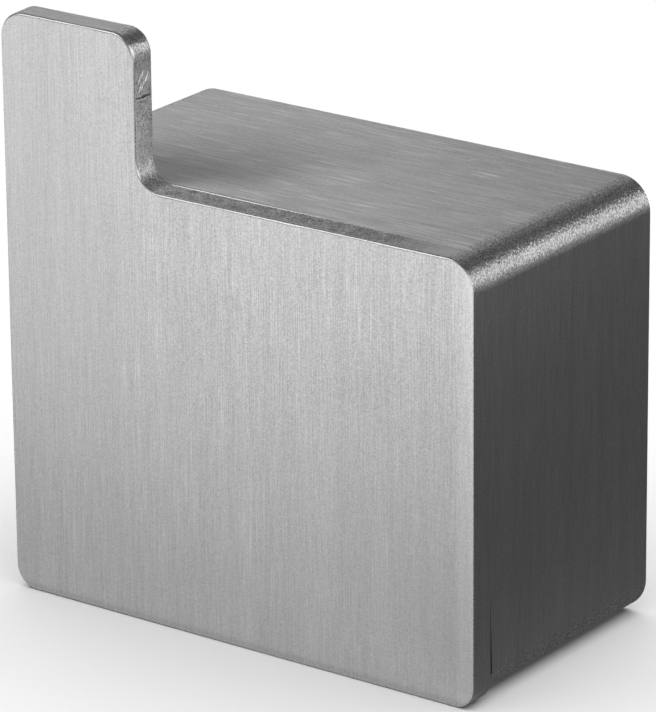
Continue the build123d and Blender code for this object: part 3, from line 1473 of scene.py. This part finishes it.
@dataclass
class GrubScrew:
    """Threaded set screw with a hexagon socket that opens downwards."""

    radius: float = 2.0
    pitch: float = 0.7
    thread_depth: float = 0.3
    thread_flank: float = 2.4
    thread_crest: float = 0.1
    chamfer: float = 0.4
    socket_half: float = 1.0
    socket_depth: float = 2.5
    socket_sides: int = 6
    side_steps: int = 16
    height_steps: int = 140
    mouth_steps: int = 3
    socket_steps: int = 5

    def build(self, metal: bpy.types.Material) -> bpy.types.Object:
        """Makes the screw.

        The thread is a triangle wave of the height less a pitch for each turn, cut off at the crest,
        and the chamfered ends bound it. The socket's flats are at its half width over the cosine of the
        angle from the middle of a flat.

        Args:
            metal: Its material.

        Returns:
            The piece that stands for the screw.
        """
        low, high = node_box("grub_screw")
        centre = ((low + high) / 2)[:2]
        steps = self.socket_sides * self.side_steps
        angle = np.linspace(0, 2 * np.pi, steps + 1)
        spoke = np.stack([np.cos(angle), np.sin(angle)], axis=1)
        height = np.linspace(low[2], high[2], self.height_steps + 1)
        turns = (height[None, :] - low[2]) / self.pitch - angle[:, None] / (2 * np.pi)
        wave = np.clip(self.thread_flank * np.abs(turns - np.round(turns)) - self.thread_crest, 0, 1)
        end = np.minimum(height - low[2], high[2] - height)
        bound = self.radius - self.chamfer + np.minimum(end, self.chamfer)
        reach = np.minimum(self.radius - self.thread_depth * wave, bound)
        points = at_height(centre + reach[..., None] * spoke[:, None], height)
        work = Patchwork()
        work.add_grid(points, grid_normals(points, at_height(spoke[:, None], 0 * reach)))
        work.add_polygon(points[:-1, -1], UP)
        sector = 2 * np.pi / self.socket_sides
        to_flat = (angle + sector / 2) % sector - sector / 2
        socket = (self.socket_half / np.cos(to_flat))[:, None] * spoke
        share = np.linspace(0, 1, self.mouth_steps + 1)[:, None]
        mouth = reach[:, :1, None] * spoke[:, None] * (1 - share) + socket[:, None] * share
        work.add_grid(at_height(centre + mouth, low[2]), -UP)
        depth = low[2] + np.linspace(0, self.socket_depth, self.socket_steps + 1)
        twice_round = np.vstack([socket, socket[1:]])
        for first in range(self.side_steps // 2, steps, self.side_steps):
            wall = twice_round[first : first + self.side_steps + 1]
            inward = -(wall[0] + wall[-1]) / np.linalg.norm(wall[0] + wall[-1])
            work.add_grid(at_height(centre + wall[:, None], depth), at_height(inward, 0.0))
        work.add_polygon(at_height(centre + socket[:-1], depth[-1]), -UP)
        piece = add_piece("grub_screw_threaded", work.mesh("grub_screw_threaded"), [metal])
        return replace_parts(piece, "grub_screw")


# Studio


@dataclass(frozen=True)
class Viewpoint:
    """The camera, solved from the photograph's edges. Lengths are in millimetres."""

    target: Triple = (0.780, -14.489, 3.242)
    distance: float = 482.37
    azimuth: float = 36.268
    elevation: float = 20.006
    roll: float = -0.5505
    lens: float = 277.467
    sensor_width: float = 36.0

    def build(self) -> bpy.types.Object:
        """Makes the camera and gives it to the scene.

        The camera looks along the direction that azimuth and elevation give, and its right and up
        are turned about that direction by the roll.

        Returns:
            The camera.
        """
        azimuth, elevation, roll = (math.radians(a) for a in (self.azimuth, self.elevation, self.roll))
        level_share = math.cos(elevation)
        back = Vector(
            (math.sin(azimuth) * level_share, -math.cos(azimuth) * level_share, math.sin(elevation))
        )
        level = (-back).cross(Vector(UP)).normalized()
        upright = level.cross(-back)
        right = math.cos(roll) * level + math.sin(roll) * upright
        up = math.cos(roll) * upright - math.sin(roll) * level
        turn = Matrix((right, up, back)).transposed().to_4x4()
        place = (Vector(self.target) + self.distance * back) * MM
        data = bpy.data.cameras.new("camera")
        data.lens = self.lens
        data.sensor_fit = "AUTO"
        data.sensor_width = self.sensor_width
        camera = add_object("camera", data)
        camera.matrix_world = Matrix.Translation(place) @ turn
        bpy.context.scene.camera = camera
        return camera


@dataclass(frozen=True)
class SoftBox:
    """A soft rectangular lamp: where it stands, its size in metres and how bright its face is."""

    name: str
    place: Triple
    size: Pair
    radiance: float
    on_metal: bool = True
    on_floor: bool = True

    def build(self) -> bpy.types.Object:
        """Makes the lamp and turns it to the hook. Its power is radiance times area times pi.

        Returns:
            The lamp.
        """
        data = bpy.data.lights.new(self.name, "AREA")
        data.shape = "RECTANGLE"
        data.size, data.size_y = self.size
        data.energy = self.radiance * self.size[0] * self.size[1] * math.pi
        lamp = add_object(self.name, data)
        lamp.location = self.place
        lamp.rotation_euler = (-Vector(self.place)).to_track_quat("-Z", "Y").to_euler()
        lamp.visible_camera = False
        lamp.visible_glossy = self.on_metal
        lamp.visible_diffuse = self.on_floor
        return lamp


def lying(low: Pair, high: Pair, height: float) -> tuple[Triple, ...]:
    """Corners of a level card between two corners in X and Y."""
    return ((*low, height), (high[0], low[1], height), (*high, height), (low[0], high[1], height))


def standing(start: Pair, end: Pair, low: float, high: float) -> tuple[Triple, ...]:
    """Corners of an upright card over a line between two places in X and Y."""
    return ((*start, low), (*end, low), (*end, high), (*start, high))


def add_sheet(name: str, corners: tuple[Triple, ...], material: bpy.types.Material) -> bpy.types.Object:
    """Puts a flat sheet into the scene.

    Args:
        name: The sheet's name.
        corners: Its four corners in order, in metres.
        material: Its material.

    Returns:
        The sheet.
    """
    mesh = bpy.data.meshes.new(name)
    mesh.from_pydata(corners, [], [(0, 1, 2, 3)])
    mesh.materials.append(material)
    return add_object(name, mesh)


@dataclass(frozen=True)
class Card:
    """An evenly bright card that only reflections see, with its corners in metres."""

    name: str
    corners: tuple[Triple, ...]
    brightness: float

    def glow(self, shade: Shade) -> Socket:
        """Shader of the card's face."""
        return shade.light(self.brightness)

    def build(self) -> bpy.types.Object:
        """Makes the card.
        """
        shade = Shade(self.name)
        card = add_sheet(self.name, self.corners, shade.finish(self.glow(shade)))
        card.visible_camera = False
        card.visible_diffuse = False
        card.visible_shadow = False
        card.visible_transmission = False
        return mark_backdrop(card)


@dataclass(frozen=True)
class FadingCard(Card):
    """A card whose brightness changes with the distance from a line.

    The distance is the place in X and Y along a way, less the place of the line. The share of the
    brightness at the line is exp(-(distance / fade)^2), and the rest is the brightness far from it.
    """

    far: float
    way: Pair
    line: float
    fade: float

    def glow(self, shade: Shade) -> Socket:
        """Shader of the card's face.

        Args:
            shade: The card's node tree.

        Returns:
            The shader's socket.
        """
        distance = self.way[0] * shade.along(Axis.X) + self.way[1] * shade.along(Axis.Y) - self.line
        share = math.e ** (distance * distance * (-1 / self.fade**2))
        return shade.mix(share, shade.light(self.far), shade.light(self.brightness))


@dataclass
class Studio:
    """Pale floor, soft lamps, bright and dark cards and the surroundings, in metres.

    The lifts hold the cards above the floor, and the gaps are between the hook and a card's edge.
    """

    floor_half: float = 3.0
    floor_colour: float = 0.9
    floor_gap: float = 0.00002
    world: float = 0.12
    flag_lift: float = 0.0001
    bounce_lift: float = 0.00005
    left_gap: float = 0.001
    right_gap: float = 0.0005
    contact_run: Pair = (-0.0012, 0.0002)
    contact_left: float = -0.03
    back_wall: float = 0.06
    back_top: float = 0.15
    back_split: float = -0.041

    def build(self) -> None:
        """Makes the whole studio."""
        scene = bpy.context.scene
        scene.view_settings.view_transform = "Standard"
        self.floor()
        surroundings = bpy.data.worlds.new("surroundings")
        surroundings.use_nodes = True
        surroundings.node_tree.nodes["Background"].inputs["Color"].default_value = (*alike(self.world), 1.0)
        scene.world = surroundings
        for lamp in (
            SoftBox("overhead_on_floor", (0.0, 0.0, 1.2), (2.4, 2.4), 1.85, on_metal=False),
            SoftBox("right_window", (1.06, -0.09, 0.475), (2.2, 0.74), 1.5, on_floor=False),
            SoftBox("left_front_window", (-0.60, -0.76, 0.71), (0.95, 0.75), 1.7, on_floor=False),
            SoftBox("front_window", (0.30, -1.12, 0.31), (1.4, 0.6), 0.25, on_floor=False),
        ):
            lamp.build()
        for card in self.cards():
            card.build()

    def cards(self) -> tuple[Card, ...]:
        """Lays out the cards: dark ones on the floor round the hook, bright ones before and behind it.

        Returns:
            The cards.
        """
        low, high = CAD_BOX
        front = low[1]
        left = low[0] - self.left_gap
        right = high[0] + self.right_gap
        flag = low[2] + self.flag_lift
        bounce = low[2] + self.bounce_lift
        contact_front, contact_back = (front + place for place in self.contact_run)
        return (
            FadingCard(
                "right_flag",
                lying((right, -0.12), (0.9, 0.9), flag),
                brightness=0.135,
                far=0.096,
                way=(1.0, 0.0),
                line=right,
                fade=0.012,
            ),
            # Dim card under the plate and tube: painted shade, standing for the floor's shade beneath the
            # hook in reflections.
            Card("under_flag", lying((left, contact_back), (right, 0.9), flag), 0.13),
            Card("left_flag", lying((-0.6, front), (left, 0.3), flag), 0.15),
            Card(
                "contact_shade",
                lying((self.contact_left, contact_front), (right, contact_back), flag),
                brightness=0.45,
            ),
            # Dimmer towards the plate's foot: painted shade, standing for the floor's shade in front of the
            # plate in the face's reflection.
            FadingCard(
                "front_bounce",
                lying((-0.6, -0.6), (0.6, front), bounce),
                brightness=0.56,
                far=1.08,
                way=(0.25, -1.0),
                line=-front,
                fade=0.046,
            ),
            Card("back_left_bounce", self.behind(-0.30, self.back_split), 0.56),
            Card("back_bounce", self.behind(self.back_split, 0.036), 0.18),
        )

    def behind(self, left: float, right: float) -> tuple[Triple, ...]:
        """Corners of a card that stands behind the hook between two places in X."""
        return standing((left, self.back_wall), (right, self.back_wall), CAD_BOX[0][2], self.back_top)

    def floor(self) -> None:
        """Makes the floor that the hook stands on for its picture."""
        shade = Shade("pale_floor")
        matt = shade.node("ShaderNodeBsdfDiffuse", None, {"Color": (*alike(self.floor_colour), 1.0)})
        half = self.floor_half
        corners = lying((-half, -half), (half, half), CAD_BOX[0][2] - self.floor_gap)
        floor = add_sheet("floor", corners, shade.finish(matt.outputs[0]))


def main() -> None:
    """Builds the pieces in order, then the studio and the camera."""
    logging.basicConfig(level=logging.INFO, format="%(name)s: %(message)s")
    tube = BrushedSteel("brushed_tube", Axis.Y)
    face = FaceSteel("brushed_plate", Axis.X)
    sheet = RolledSheet("rolled_sheet").material()
    broken = CutEdge(
        "broken_edge",
        bright=alike(0.67),
        dark=alike(0.53),
        brightness=0.5,
        roughness=0.30,
        dimple_height=0.004,
        shade_glint_and_darkening_tint=0.0,
    ).material()
    pieces = [
        FrontPlate().build(face, CutEdge("cut_edge").worn_into(tube), broken),
        BodySleeve().build(tube.material(), sheet, broken),
        GrubScrew().build(TurnedSteel("turned_steel").material()),
    ]
    weld = RolledSheet("weld_metal", colour=(0.50, 0.485, 0.46), contrast=0.2, roughness=0.3).material()
    low, high = node_box("body_sleeve")
    for name, inward, reach in (
        ("bead_left", (1.0, 0.0, 0.0), high[0]),
        ("bead_right", (-1.0, 0.0, 0.0), high[0]),
        ("bead_low", (0.0, 0.0, 1.0), high[2]),
        ("bead_top", (0.0, 0.0, -1.0), high[2]),
    ):
        foot = np.array([0.0, low[1], 0.0]) - np.array(inward) * (reach - BodySleeve.wall)
        pieces.append(WeldBead().build(name, foot, np.array(inward), weld))
    for piece in pieces:
        log.info("made %s with %d faces", piece.name, len(piece.data.polygons))
    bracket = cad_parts["wall_bracket"].data
    bracket.materials.clear()
    bracket.materials.append(sheet)
    Studio().build()
    Viewpoint().build()


if __name__ == "__main__":
    main()
